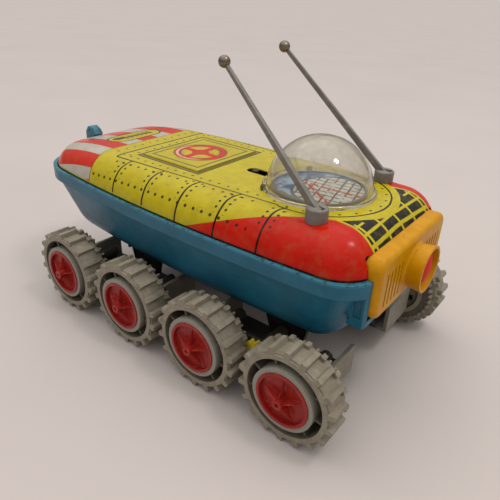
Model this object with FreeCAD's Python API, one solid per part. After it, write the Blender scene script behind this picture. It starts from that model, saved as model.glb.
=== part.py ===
"""Tin planetary rover on four two-wheel bogies, driven by a clockwork motor.

Units are millimetres.  +X is forward, +Y is the rover's left, +Z is up.  The origin is on the
ground, at the middle of the rover's length and width.
"""
import FreeCAD, Part
import math
import os
from FreeCAD import Vector as V

os.makedirs("parts", exist_ok=True)

# ---- driving dimensions -------------------------------------------------------------------
HALF_LENGTH = 111.2          # tail hook and nozzle ring both lie this far from the origin
WHEEL_PITCH = 48.0           # from one axle to the next
MID_X = 12.6                 # middle of the wheelbase
AXLE_Z = 22.5                # axle height, equal to the wheels' outer radius
BOGIE_X = {"front": MID_X + WHEEL_PITCH, "rear": MID_X - WHEEL_PITCH}
SIDES = {"left": 1, "right": -1}

# hull tub
BEAM = 48.0                  # largest half width, at the rim
SIDE_ARC_R = 860.0           # plan radius of the long sides
SIDE_ARC_X = 21.0            # where the hull is widest
STERN_X = -108.9
BOW_X = 102.1
HOOK_HALF_Y = 3.0
STERN_CORNER_R = 29.0
BOW_CORNER_R = 18.0
RIM_Z = 69.5
LIP_DEPTH = 6.5
LIP_STEP = 1.5               # the side below the lip stands this far in
HULL_FLOOR_Z = 32.5
HULL_WALL = 1.8
BILGE_R = 17.0

# tin top
DECK_Z = 84.9
DECK_FALL_X = -52.0          # aft of here the deck falls away on an arc
DECK_FALL_R = 185.0
TIN_INSET = 1.9
TIN = 0.5
SHOULDER_R = 15.4
PANEL_X = (-34.4, 4.6)       # raised hatch panel on the deck
PANEL_HALF_Y = 22.0
PANEL_RISE = 0.7
SLOT_X = (20.6, 32.1)        # lever slot behind the dome
SLOT_Y = (-4.4, 2.0)

# dome
DOME_X = 56.4
DOME_R = 23.8
DOME_FLANGE_R = 25.4
DOME_WALL = 0.9
DIAL_R = 21.5

# nose
SOCKET_X = 101.3             # front of the hull's socket around the nose
SOCKET_CHEEK = 2.4           # thickness of the socket's cheeks
NOSE_REAR_X = 96.6
NOSE_FRONT_X = 104.1
NOSE_HALF_Y = 32.6
NOSE_Z = (51.6, 78.0)
NOSE_CORNER_R = 5.5
NOSE_EDGE_R = 2.4            # rounding between the front face and the sides
NOSE_WALL = 1.6
LOUVRE_Z = (56.0, 70.7)
NOZZLE_Z = 64.4
NOZZLE_R = 9.9
NOZZLE_ROOT_R = 7.8
NOZZLE_FILLET = 1.0
LENS_R = 8.5
LENS_RIM = 1.0               # straight rim behind the bulge
LENS_RISE = 2.6              # how far the lens bulges forward

# antennas
BOSS_X = 73.3
BOSS_Y = 29.8
BOSS_R = 4.5
BOSS_TOP_Z = DECK_Z + 5.2
PIVOT_Z = DECK_Z + 3.0
ANTENNA_LENGTH = 74.75
ANTENNA_LEAN = {1: 46.9, -1: 51.0}   # degrees back from upright, left and right
ANTENNA_YAW = 11.0           # degrees inwards, so that the two converge
BALL_R = 2.6

# bogies and wheels, as distances from the centre plane
PIVOT_R = 2.0
RUNNING = 0.05               # radial clearance of every running fit
FRAME_Y = (18.0, 43.5)
FRAME_Z = (13.0, 27.3)
FRAME_HALF_X = 32.2
FRAME_WALL = 1.8
AXLE_BOSS_R = 2.8
SLEEVE_R = 3.3               # around the cross shaft
RING_Y = (45.5, 48.5)        # ring gear on the wheel's inner face
SHAFT_END_Y = 48.1           # clear of the tyres on either side
TYRE_Y = (48.5, 60.8)
HUB_FACE_Y = 62.2
HUB_TIP_Y = 65.2
AXLE_R = 1.5
DRUM_R = 20.3
RECESS_R = (14.2, 17.6)      # open ring between hub and drum
TYRE_R = AXLE_Z
LUGS = 18
WEBS = 9
CAP_R = 12.1
CAP_BOSS_R = 2.2

# gears
MODULE = 1.0
PINION_TEETH = 12
RING_TEETH = 36
GREAT_TEETH = 36
SECOND_TEETH = 24
SHAFT_TEETH = 20
GOVERNOR_TEETH = 8
BACKLASH = 0.22
PRESSURE = math.radians(20)

NODES = {}


# ---- helpers ------------------------------------------------------------------------------
def box(x, y, z):
    """Block between two values on each axis, given in any order."""
    lo = [min(x), min(y), min(z)]
    size = [max(x) - min(x), max(y) - min(y), max(z) - min(z)]
    return Part.makeBox(*size, V(*lo))


def rod(x, z, r, y0, y1):
    """Cylinder along Y."""
    return Part.makeCylinder(r, abs(y1 - y0), V(x, min(y0, y1), z), V(0, 1, 0))


def post(x, y, r, z0, z1):
    """Cylinder along Z."""
    return Part.makeCylinder(r, z1 - z0, V(x, y, z0))


def span(side, near, far):
    """The same distance range on the left (+1) or the right (-1) of the centre plane."""
    return (side * near, side * far)


def prism_y(points, y0, y1):
    """Polygon in the XZ plane, extruded along Y."""
    ring = [V(x, min(y0, y1), z) for x, z in points]
    wire = Part.makePolygon(ring + ring[:1])
    return Part.Face(wire).extrude(V(0, abs(y1 - y0), 0))


def save(name, shape):
    shape = shape.removeSplitter() if len(shape.Solids) == 1 else shape
    assert shape.isValid() and shape.Volume > 0, name
    NODES[name] = shape
    shape.exportStep("parts/%s.step" % name)


# ---- gears --------------------------------------------------------------------------------
def gear(x, z, teeth, y0, y1, bore, phase=0.0):
    """Spur gear with its axis along Y; one tooth points at `phase` degrees from +X to +Z."""
    pitch_r = MODULE * teeth / 2
    base_r = pitch_r * math.cos(PRESSURE)
    root_r = pitch_r - 1.15 * MODULE
    tip_r = pitch_r + 0.85 * MODULE
    half = math.pi / (2 * teeth) - BACKLASH / (2 * pitch_r)

    def involute(r):
        a = math.acos(min(1.0, base_r / r))
        return math.tan(a) - a

    def half_angle(r):
        return half + involute(pitch_r) - involute(max(r, base_r))

    radii = [root_r, max(base_r, root_r + 0.1), pitch_r, tip_r]
    points = []
    for i in range(teeth):
        middle = math.radians(phase) + 2 * math.pi * i / teeth
        flank = [(r, half_angle(r)) for r in radii]
        for r, a in flank:
            points.append((x + r * math.cos(middle - a), z + r * math.sin(middle - a)))
        for r, a in reversed(flank):
            points.append((x + r * math.cos(middle + a), z + r * math.sin(middle + a)))
    return prism_y(points, y0, y1).cut(rod(x, z, bore, min(y0, y1) - 1, max(y0, y1) + 1))


# ---- hull ---------------------------------------------------------------------------------
def plan(z0, z1, inset, stern=0.0, bow=0.0):
    """Upright prism on the hull's plan outline, `inset` in from the rim all round."""
    x = (STERN_X + inset + stern, BOW_X - inset - bow)
    shape = box(x, (-BEAM, BEAM), (z0, z1))
    arc_r = SIDE_ARC_R - inset
    for side in (1, -1):
        centre = V(SIDE_ARC_X, -side * (SIDE_ARC_R - BEAM), z0)
        shape = shape.common(Part.makeCylinder(arc_r, z1 - z0, centre))
    for at_stern, radius in ((True, STERN_CORNER_R), (False, BOW_CORNER_R)):
        corner = [e for e in shape.Edges if abs(e.tangentAt(e.FirstParameter).z) > 0.99
                  and (e.CenterOfMass.x < 0) == at_stern and abs(e.CenterOfMass.y) > 10
                  and abs(e.CenterOfMass.x - (x[0] if at_stern else x[1])) < 0.01]
        shape = shape.makeFillet(radius - 0.4 * inset, corner)
    return shape


def plan_wire(z, inset, stern=0.0, bow=0.0):
    prism = plan(z, z + 1, inset, stern, bow)
    bottom = min(prism.Faces, key=lambda f: f.CenterOfMass.z)
    return bottom.OuterWire


def boat(top_z, bottom_z, grow, radius):
    """The tapering body below the lip, rounded along the bilge."""
    upper = plan_wire(top_z, LIP_STEP + grow)
    lower = plan_wire(bottom_z, 10.0 + grow, stern=9.0, bow=5.0)
    body = Part.makeLoft([upper, lower], True, True)
    low = [e for e in body.Edges if e.BoundBox.ZMax < bottom_z + 0.01]
    return body.makeFillet(radius, low)


def hull_tub():
    lip_z = RIM_Z - LIP_DEPTH
    outer = boat(lip_z, HULL_FLOOR_Z, 0.0, BILGE_R).fuse(plan(lip_z, RIM_Z, 0.0))
    inner_floor = HULL_FLOOR_Z + HULL_WALL
    inner = boat(lip_z + 0.5, inner_floor, HULL_WALL, BILGE_R - HULL_WALL)
    inner = inner.fuse(plan(lip_z, RIM_Z + 1, HULL_WALL))
    # nose socket: a square box across the bow, open towards the nose
    socket_y = NOSE_HALF_Y + SOCKET_CHEEK
    shell = outer.cut(inner)
    low = NOSE_Z[0] - 2.6
    root_x = SOCKET_X - 8.7
    for side in (1, -1):
        outline = [(root_x, low + 10.0), (root_x + 1.2, low + 5.0), (root_x + 3.0, low + 2.0),
                   (root_x + 5.4, low + 0.4), (root_x + 7.4, low), (SOCKET_X, low), (SOCKET_X, RIM_Z),
                   (root_x, RIM_Z)]
        cheek = prism_y(outline, *span(side, NOSE_HALF_Y + 0.1, socket_y))
        shell = shell.fuse(cheek.common(plan(30, 90, 0.0)))
        pocket = box((SOCKET_X - 5.0, SOCKET_X - 1.8), span(side, socket_y - 0.8, socket_y + 8),
                     (low + 4, RIM_Z - 8.5))
        shell = shell.cut(pocket)
    sill = box((SOCKET_X - 7.2, SOCKET_X), (-socket_y, socket_y), (low, NOSE_Z[0] - 0.1))
    shell = shell.fuse(sill.common(plan(30, 90, 0.0)))
    mouth = box((NOSE_REAR_X - 0.1, BOW_X + 5), (-NOSE_HALF_Y - 0.1, NOSE_HALF_Y + 0.1),
                (NOSE_Z[0] - 0.1, RIM_Z + 5))
    shell = shell.cut(mouth)
    # slots for the shaft gear, holes for the bracket screws and the winding arbor
    shell = shell.cut(box((SHAFT_X - 12.5, SHAFT_X + 12.5), (-4, 4), (HULL_FLOOR_Z - 1, 37)))
    for x, y in SCREW_PLACES:
        shell = shell.cut(post(x, y, 1.0, HULL_FLOOR_Z - 1, HULL_FLOOR_Z + 3))
    return shell.cut(rod(GREAT_X, GREAT_Z, 3.0, 30, 60))


def fall(top, inset):
    """Side profile of the tin: level over most of its length, falling on an arc to the stern."""
    radius = DECK_FALL_R - inset
    centre_z = top - radius
    far_x = -HALF_LENGTH - 5

    def on_arc(x):
        return V(x, -60, centre_z + math.sqrt(radius ** 2 - (x - DECK_FALL_X) ** 2))

    arc = Part.Arc(V(DECK_FALL_X, -60, top), on_arc((DECK_FALL_X + far_x) / 2), on_arc(far_x))
    rest = Part.makePolygon([on_arc(far_x), V(far_x, -60, 0), V(HALF_LENGTH, -60, 0),
                             V(HALF_LENGTH, -60, top), V(DECK_FALL_X, -60, top)])
    return Part.Face(Part.Wire([arc.toShape()] + rest.Edges)).extrude(V(0, 120, 0))


def tin_top():
    def loaf(inset, top, radius):
        body = plan(RIM_Z - 2 * radius, top, inset).common(fall(top, inset))
        edges = [e for e in body.Edges if e.BoundBox.ZMin > RIM_Z
                 and e.BoundBox.YLength + e.BoundBox.XLength > 1
                 and not (abs(e.CenterOfMass.x - DECK_FALL_X) < 0.5 and abs(e.CenterOfMass.y) < 1)]
        body = body.makeFillet(radius, edges)
        return body.cut(box((-200, 200), (-100, 100), (0, RIM_Z - LIP_DEPTH + 0.05)))

    def panel(inset, top):
        x = (PANEL_X[0] + inset, PANEL_X[1] - inset)
        y = (-PANEL_HALF_Y + inset, PANEL_HALF_Y - inset)
        block = box(x, y, (DECK_Z - 2, top))
        edges = [e for e in block.Edges if e.BoundBox.ZMin > top - 0.01]
        return block.makeChamfer(PANEL_RISE * 0.9, edges)

    outer = loaf(TIN_INSET, DECK_Z, SHOULDER_R).fuse(panel(0.0, DECK_Z + PANEL_RISE))
    inner = loaf(TIN_INSET + TIN, DECK_Z - TIN, SHOULDER_R - TIN)
    inner = inner.fuse(panel(TIN, DECK_Z + PANEL_RISE - TIN))
    shell = outer.cut(inner)
    slot = box(SLOT_X, SLOT_Y, (DECK_Z - 5, DECK_Z + 5))
    end_x = SLOT_X[0]
    end_r = (SLOT_Y[1] - SLOT_Y[0]) / 2
    slot = slot.fuse(post(end_x, (SLOT_Y[0] + SLOT_Y[1]) / 2, end_r, DECK_Z - 5, DECK_Z + 5))
    shell = shell.cut(slot)
    for side in (1, -1):
        shell = shell.cut(post(BOSS_X, side * BOSS_Y, 1.6, DECK_Z - 5, DECK_Z + 5))
    notch = box((NOSE_REAR_X - 0.15, BOW_X + 5), (-NOSE_HALF_Y - 0.2, NOSE_HALF_Y + 0.2),
                (RIM_Z - 10, NOSE_Z[1] + 0.15))
    cheek_y = NOSE_HALF_Y + SOCKET_CHEEK + 0.1
    cheeks = box((SOCKET_X - 8.8, BOW_X + 5), (-cheek_y, cheek_y), (RIM_Z - 10, RIM_Z + 0.05))
    return shell.cut(notch).cut(cheeks)


def dome():
    base = DECK_Z + 0.05
    centre = V(DOME_X, 0, base)
    ball = Part.makeSphere(DOME_R, centre, V(0, 0, 1), 0, 90, 360)
    flange = Part.makeCylinder(DOME_FLANGE_R, 1.0, centre)
    bead = Part.makeTorus(DOME_FLANGE_R - 0.6, 0.6, centre + V(0, 0, 1.0))
    hollow = Part.makeSphere(DOME_R - DOME_WALL, centre, V(0, 0, 1), 0, 90, 360)
    shape = ball.fuse(flange).fuse(bead).cut(hollow)
    return shape.cut(post(DOME_X, 0, DOME_R - DOME_WALL, base - 1, base))


def dial_disc():
    """Printed cockpit dial: a shallow dished disc on the deck under the dome."""
    base = DECK_Z + 0.05
    disc = post(DOME_X, 0, DIAL_R, base, base + 1.0)
    rim = [e for e in disc.Edges if e.BoundBox.ZMin > base + 0.9]
    disc = disc.makeFillet(0.8, rim)
    return disc.cut(post(DOME_X, 0, DIAL_R - 1.6, base + 0.6, base + 2))


def nose_panel():
    """Deep rounded cover with a nozzle ring and five louvres on each side of it."""
    def plate(grow, rear, front):
        z = (NOSE_Z[0] + grow, NOSE_Z[1] - grow)
        block = box((rear, front), (-NOSE_HALF_Y + grow, NOSE_HALF_Y - grow), z)
        along = [e for e in block.Edges if abs(e.tangentAt(e.FirstParameter).x) > 0.99]
        block = block.makeFillet(NOSE_CORNER_R - grow, along)
        ahead = [e for e in block.Edges if e.BoundBox.XMin > front - 0.01]
        return block.makeFillet(NOSE_EDGE_R - grow, ahead)

    outer = plate(0.0, NOSE_REAR_X, NOSE_FRONT_X)
    inner = plate(NOSE_WALL, NOSE_REAR_X - 0.01, NOSE_FRONT_X - NOSE_WALL)
    nozzle = Part.makeCone(NOZZLE_ROOT_R + 1.2, NOZZLE_R + 0.3, HALF_LENGTH - NOSE_FRONT_X + 2.0,
                           V(NOSE_FRONT_X - 2.0, 0, NOZZLE_Z), V(1, 0, 0))
    shape = outer.cut(inner).fuse(nozzle)
    root = [e for e in shape.Edges if abs(e.CenterOfMass.x - NOSE_FRONT_X) < 0.01
            and e.BoundBox.YLength < 3 * NOZZLE_R and e.Curve.TypeId == "Part::GeomCircle"]
    shape = shape.makeFillet(NOZZLE_FILLET, root)
    bore = Part.makeCone(NOZZLE_ROOT_R - 0.2, NOZZLE_R - 0.9, HALF_LENGTH - NOSE_FRONT_X + 4.0,
                         V(NOSE_FRONT_X - 4.0, 0, NOZZLE_Z), V(1, 0, 0))
    bore_tail = Part.makeCylinder(NOZZLE_ROOT_R - 0.2, 6, V(NOSE_FRONT_X - 9, 0, NOZZLE_Z), V(1, 0, 0))
    shape = shape.cut(bore).cut(bore_tail)
    for side in (1, -1):
        for i in range(5):
            y = side * (12.6 + 3.3 * i)
            louvre = box((NOSE_FRONT_X - 3, NOSE_FRONT_X + 1), (y - 0.6, y + 0.6), LOUVRE_Z)
            shape = shape.cut(louvre)
    return shape


def nose_lens():
    """Red moulded lens that bulges forward in the nozzle, with a rim that seats against the bore."""
    apex_x = HALF_LENGTH - 0.2
    rim_x = apex_x - LENS_RISE - LENS_RIM
    ball_r = (LENS_R ** 2 + LENS_RISE ** 2) / (2 * LENS_RISE)
    ball = Part.makeSphere(ball_r, V(apex_x - ball_r, 0, NOZZLE_Z))
    core = Part.makeSphere(ball_r - 1.0, V(apex_x - ball_r, 0, NOZZLE_Z))
    barrel = Part.makeCylinder(LENS_R, 12, V(rim_x, 0, NOZZLE_Z), V(1, 0, 0))
    bore = Part.makeCylinder(LENS_R - 1.0, 12, V(rim_x, 0, NOZZLE_Z), V(1, 0, 0))
    return barrel.common(ball).cut(bore.common(core))


def tail_hook():
    """Upstanding carrying hook; its foot lies flat against the back of the rim."""
    x = -HALF_LENGTH
    profile = [(x, RIM_Z - 6.0), (x, RIM_Z + 10.5), (x + 1.6, RIM_Z + 12.8), (x + 4.4, RIM_Z + 13.4),
               (x + 7.4, RIM_Z + 11.9), (x + 9.6, RIM_Z + 8.9), (x + 5.6, RIM_Z + 5.4),
               (x + 3.6, RIM_Z + 0.02), (STERN_X, RIM_Z + 0.02), (STERN_X, RIM_Z - 6.0)]
    block = prism_y(profile, -HOOK_HALF_Y, HOOK_HALF_Y)
    flank = [e for e in block.Edges if e.BoundBox.YLength < 0.01 and e.BoundBox.ZMin > RIM_Z + 5]
    return block.makeChamfer(0.6, flank)


# ---- undercarriage ------------------------------------------------------------------------
SHAFT_X = BOGIE_X["front"]
SCREW_PLACES = [(BOGIE_X[end] + dx, y) for end in BOGIE_X for dx in (-8.0, 8.0) for y in (-17.0, 17.0)]


def bracket(end):
    """Black channel under the hull; its two cheeks carry a cross shaft."""
    x = BOGIE_X[end]
    top = HULL_FLOOR_Z - 0.05
    shape = box((x - 14.5, x + 14.5), (-25, 25), (top - 2.0, top))
    for side in (1, -1):
        cheek = prism_y([(x - 12.5, top), (x - 8.0, AXLE_Z - 4.0), (x - 4.0, AXLE_Z - 6.0),
                         (x + 4.0, AXLE_Z - 6.0), (x + 9.5, AXLE_Z - 4.0), (x + 12.5, top)],
                        *span(side, 22.0, 25.0))
        shape = shape.fuse(cheek)
    for side in (1, -1):
        shape = shape.fuse(box((x - 14.5, x - 13.0), span(side, 6.0, 25.0), (top - 5.0, top)))
    shape = shape.cut(rod(x, AXLE_Z, PIVOT_R + RUNNING, -30, 30))
    for px, py in SCREW_PLACES:
        shape = shape.cut(post(px, py, 1.3, top - 5, top + 1))
    return shape.cut(box((x - 12.4, x + 12.4), (-4, 4), (top - 8, top + 1)))


def bracket_screws():
    """Pan-head screws, driven up through the brackets into the hull floor."""
    top = HULL_FLOOR_Z - 2.05
    solids = []
    for x, y in SCREW_PLACES:
        head = post(x, y, 2.3, top - 1.3, top)
        shank = post(x, y, 1.0, top, HULL_FLOOR_Z + 1.7)
        slot = box((x - 3, x + 3), (y - 0.3, y + 0.3), (top - 1.4, top - 0.7))
        solids.append(head.fuse(shank).cut(slot))
    return Part.makeCompound(solids)


def bogie_frame(end, side):
    """Open tray with an outer wall, end plates, axle bosses and a pivot sleeve."""
    x = BOGIE_X[end]
    x_span = (x - FRAME_HALF_X, x + FRAME_HALF_X)
    y_span = span(side, *FRAME_Y)
    shape = box(x_span, span(side, FRAME_Y[1] - FRAME_WALL, FRAME_Y[1]), FRAME_Z)
    shape = shape.fuse(box(x_span, y_span, (FRAME_Z[0], FRAME_Z[0] + FRAME_WALL)))
    for end_x in (-1, 1):
        outer = x + end_x * FRAME_HALF_X
        shape = shape.fuse(box((outer, outer - end_x * FRAME_WALL), y_span, FRAME_Z))
    for dx in (-WHEEL_PITCH / 2, WHEEL_PITCH / 2):
        shape = shape.fuse(rod(x + dx, AXLE_Z, AXLE_BOSS_R, *span(side, 27.0, FRAME_Y[1] + 1.2)))
        web = box((x + dx - 0.8, x + dx + 0.8), span(side, 27.0, FRAME_Y[1]), (FRAME_Z[0], AXLE_Z))
        shape = shape.fuse(web)
    shape = shape.fuse(rod(x, AXLE_Z, SLEEVE_R, *span(side, 26.0, FRAME_Y[1] + 1.2)))
    web = box((x - 0.8, x + 0.8), span(side, 26.0, FRAME_Y[1]), (FRAME_Z[0], AXLE_Z - 3))
    shape = shape.fuse(web)
    shape = shape.cut(rod(x, AXLE_Z, PIVOT_R + RUNNING, *span(side, 20, 50)))
    for dx in (-WHEEL_PITCH / 2, WHEEL_PITCH / 2):
        shape = shape.cut(rod(x + dx, AXLE_Z, AXLE_R, *span(side, 28.5, 50)))
    return shape


def stub_axles(end, side):
    """Two steel pins pressed into the frame's bosses, ending under the hub caps' bosses."""
    pins = []
    for dx in (-WHEEL_PITCH / 2, WHEEL_PITCH / 2):
        x = BOGIE_X[end] + dx
        pin = rod(x, AXLE_Z, AXLE_R, *span(side, 28.5, HUB_TIP_Y - 1.8))
        pins.append(pin)
    return Part.makeCompound(pins)


def bar(x, root_half, top_half, top_r, y_span):
    """One tread bar at the top of the drum at `x`, tapering from its root to its top."""
    root_z = AXLE_Z + DRUM_R - 0.8
    return prism_y([(x - root_half, root_z), (x - top_half, AXLE_Z + top_r),
                    (x + top_half, AXLE_Z + top_r), (x + root_half, root_z)], *y_span)


def wheel(x, side):
    """Grey moulded wheel: lugged drum, webbed recess, hub and a ring gear on the inner face."""
    inner, outer = TYRE_Y
    drum = rod(x, AXLE_Z, DRUM_R, *span(side, inner, outer - 0.8))
    crown = rod(x, AXLE_Z, DRUM_R - 0.5, *span(side, outer - 0.8, outer))
    shape = drum.fuse(crown)
    recess = rod(x, AXLE_Z, RECESS_R[1], *span(side, inner + 1.4, outer + 1))
    recess = recess.cut(rod(x, AXLE_Z, RECESS_R[0], *span(side, inner, outer + 2)))
    shape = shape.cut(recess)
    shape = shape.fuse(rod(x, AXLE_Z, RECESS_R[0], *span(side, inner, HUB_FACE_Y - 0.5)))
    shape = shape.cut(rod(x, AXLE_Z, CAP_R + 0.05, *span(side, outer - 5.0, HUB_FACE_Y + 1)))
    for i in range(WEBS):
        web = box((x + RECESS_R[0] - 0.8, x + RECESS_R[1] + 0.5), span(side, inner + 1.0, outer - 1.3),
                  (AXLE_Z - 0.55, AXLE_Z + 0.55))
        web.rotate(V(x, 0, AXLE_Z), V(0, 1, 0), 360.0 * i / WEBS + 90)
        shape = shape.fuse(web)
    lugs = []
    for i in range(LUGS):
        lug = bar(x, 1.45, 1.1, TYRE_R, span(side, inner + 2.2, outer - 0.1))
        tooth = bar(x, 1.3, 1.0, TYRE_R - 0.5, span(side, inner, inner + 2.7))
        angle = 360.0 * i / LUGS
        lug.rotate(V(x, 0, AXLE_Z), V(0, 1, 0), angle)
        tooth.rotate(V(x, 0, AXLE_Z), V(0, 1, 0), angle + 120.0 / LUGS)
        lugs += [lug, tooth]
    shape = shape.fuse(lugs)
    half_tooth = 180.0 / RING_TEETH
    ring = gear(x, AXLE_Z, RING_TEETH, side * RING_Y[0], side * (RING_Y[1] + 0.2), 12.0, half_tooth)
    shape = shape.fuse(ring).fuse(rod(x, AXLE_Z, 4.0, *span(side, RING_Y[0] - 0.5, inner + 1)))
    shape = shape.cut(rod(x, AXLE_Z, 11.9, *span(side, inner + 1.4, outer - 6.4))
                      .cut(rod(x, AXLE_Z, 4.0, *span(side, inner, outer))))
    for i in range(6):
        a = math.radians(60 * i + 30)
        hole = rod(x + 8.2 * math.cos(a), AXLE_Z + 8.2 * math.sin(a), 2.0, *span(side, inner - 1, inner + 2))
        shape = shape.cut(hole)
    return shape.cut(rod(x, AXLE_Z, AXLE_R + RUNNING, *span(side, 40, 70)))


def hub_cap(x, side):
    """Red dished cap with a raised rim, five wedge ribs and a bored centre boss."""
    back = TYRE_Y[1] - 4.95
    disc = rod(x, AXLE_Z, CAP_R, *span(side, back, HUB_FACE_Y - 1.9))
    rim = rod(x, AXLE_Z, CAP_R, *span(side, back, HUB_FACE_Y)).cut(
        rod(x, AXLE_Z, CAP_R - 1.3, *span(side, back, HUB_FACE_Y + 1)))
    shape = disc.fuse(rim).fuse(rod(x, AXLE_Z, CAP_BOSS_R, *span(side, back, HUB_TIP_Y)))
    floor_y = side * (HUB_FACE_Y - 2.0)
    ribs = []
    for i in range(5):
        foot = [V(x + 2.0, floor_y, AXLE_Z - 0.7), V(x + 2.0, floor_y, AXLE_Z + 0.7),
                V(x + 10.4, floor_y, AXLE_Z + 1.6), V(x + 10.4, floor_y, AXLE_Z - 1.6)]
        top = [V(x + 2.0, side * (HUB_TIP_Y - 0.9), AXLE_Z), V(x + 10.2, side * (HUB_FACE_Y - 1.2), AXLE_Z)]
        faces = [[foot[0], foot[1], foot[2], foot[3]], [foot[0], foot[1], top[0]],
                 [foot[3], foot[2], top[1]], [foot[1], foot[2], top[1], top[0]],
                 [foot[0], foot[3], top[1], top[0]]]
        skins = []
        for ring in faces:
            if len(ring) == 3:
                skins.append(Part.Face(Part.makePolygon(ring + ring[:1])))
            else:
                skins.append(Part.Face(Part.makePolygon([ring[0], ring[1], ring[2], ring[0]])))
                skins.append(Part.Face(Part.makePolygon([ring[0], ring[2], ring[3], ring[0]])))
        rib = Part.Solid(Part.Shell(skins))
        if rib.Volume < 0:
            rib.reverse()
        rib.rotate(V(x, 0, AXLE_Z), V(0, 1, 0), 72.0 * i - 90)
        ribs.append(rib)
    shape = shape.fuse(ribs).cut(rod(x, AXLE_Z, 0.8, *span(side, 40, 70)))
    return shape.cut(rod(x, AXLE_Z, AXLE_R + RUNNING, *span(side, 40, HUB_TIP_Y - 1.6)))


def pinion(end, side):
    return gear(BOGIE_X[end], AXLE_Z, PINION_TEETH, side * (RING_Y[0] - 0.6), side * SHAFT_END_Y,
                PIVOT_R + 0.02)


def cross_shaft(end):
    return rod(BOGIE_X[end], AXLE_Z, PIVOT_R, -SHAFT_END_Y, SHAFT_END_Y)


# ---- antennas -----------------------------------------------------------------------------
def converge(shape, side):
    """Turn about the boss's own upright axis, towards the centre plane."""
    shape.rotate(V(BOSS_X, side * BOSS_Y, 0), V(0, 0, 1), side * ANTENNA_YAW)
    return shape


def antenna_boss(side):
    """Slotted round boss on the edge of the deck, with a peg through the tin."""
    y = side * BOSS_Y
    body = post(BOSS_X, y, BOSS_R, DECK_Z - 3, BOSS_TOP_Z)
    edges = [e for e in body.Edges if e.BoundBox.ZMin > BOSS_TOP_Z - 0.1]
    body = body.makeFillet(0.8, edges)
    under = plan(RIM_Z, DECK_Z + 0.05, TIN_INSET - 0.05)
    shoulder = [e for e in under.Edges if e.BoundBox.ZMin > DECK_Z]
    body = body.cut(under.makeFillet(SHOULDER_R, shoulder))
    body = body.fuse(post(BOSS_X, y, 1.5, DECK_Z - 2.5, DECK_Z + 1.5))
    slot = box((BOSS_X - 6, BOSS_X + 3.2), (y - 1.3, y + 1.3), (DECK_Z + 0.5, DECK_Z + 9))
    cuts = slot.fuse(rod(BOSS_X, PIVOT_Z, 0.9 + RUNNING, y - 4.0, y + 4.0))
    return body.cut(converge(cuts, side))


def square_ring(x, y, z, half_x, half_y):
    corners = [V(x - half_x, y - half_y, z), V(x + half_x, y - half_y, z),
               V(x + half_x, y + half_y, z), V(x - half_x, y + half_y, z)]
    return Part.makePolygon(corners + corners[:1])


def antenna(side):
    """Tapered rod with a round root and two pivot stubs, leaning back from upright."""
    y = side * BOSS_Y
    root = rod(BOSS_X, PIVOT_Z, 1.9, y - 1.1, y + 1.1)
    stubs = rod(BOSS_X, PIVOT_Z, 0.9, y - 3.8, y + 3.8)
    tip_z = PIVOT_Z + ANTENNA_LENGTH - BALL_R + 0.4
    lower = square_ring(BOSS_X, y, PIVOT_Z, 1.5, 1.1)
    upper = square_ring(BOSS_X, y, tip_z, 0.75, 0.75)
    shape = root.fuse(stubs).fuse(Part.makeLoft([lower, upper], True, True))
    shape = shape.cut(antenna_ball_upright(side))
    shape.rotate(V(BOSS_X, y, PIVOT_Z), V(0, 1, 0), -ANTENNA_LEAN[side])
    return converge(shape, side)


def antenna_ball_upright(side):
    return Part.makeSphere(BALL_R, V(BOSS_X, side * BOSS_Y, PIVOT_Z + ANTENNA_LENGTH))


def antenna_ball(side):
    ball = antenna_ball_upright(side)
    ball.rotate(V(BOSS_X, side * BOSS_Y, PIVOT_Z), V(0, 1, 0), -ANTENNA_LEAN[side])
    return converge(ball, side)


# ---- clockwork motor ----------------------------------------------------------------------
SECOND_X = SHAFT_X
SECOND_Z = AXLE_Z + MODULE * (SHAFT_TEETH + SECOND_TEETH) / 2
GREAT_ANGLE = 141.0          # from the second arbor to the great arbor, degrees from +X to +Z
GREAT_ARM = MODULE * (PINION_TEETH + GREAT_TEETH) / 2
GREAT_X = SECOND_X + GREAT_ARM * math.cos(math.radians(GREAT_ANGLE))
GREAT_Z = SECOND_Z + GREAT_ARM * math.sin(math.radians(GREAT_ANGLE))
GOVERNOR_ANGLE = 60.0
GOVERNOR_ARM = MODULE * (SECOND_TEETH + GOVERNOR_TEETH) / 2
GOVERNOR_X = SECOND_X + GOVERNOR_ARM * math.cos(math.radians(GOVERNOR_ANGLE))
GOVERNOR_Z = SECOND_Z + GOVERNOR_ARM * math.sin(math.radians(GOVERNOR_ANGLE))
PLATE_Y = {"left": (13.5, 14.5), "right": (-10.5, -9.5)}
PLATE_X = (GREAT_X - 22.0, GOVERNOR_X + 13.0)
PLATE_Z = (HULL_FLOOR_Z + 6.0, DECK_Z - 5.0)
KEY_WING_R = 4.6
PLATE_FOOT_Z = HULL_FLOOR_Z + HULL_WALL + 0.05
PILLARS = [(x, z) for x in (PLATE_X[0] + 3.5, PLATE_X[1] - 3.5) for z in (PLATE_Z[0] + 4, PLATE_Z[1] - 8)]


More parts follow.
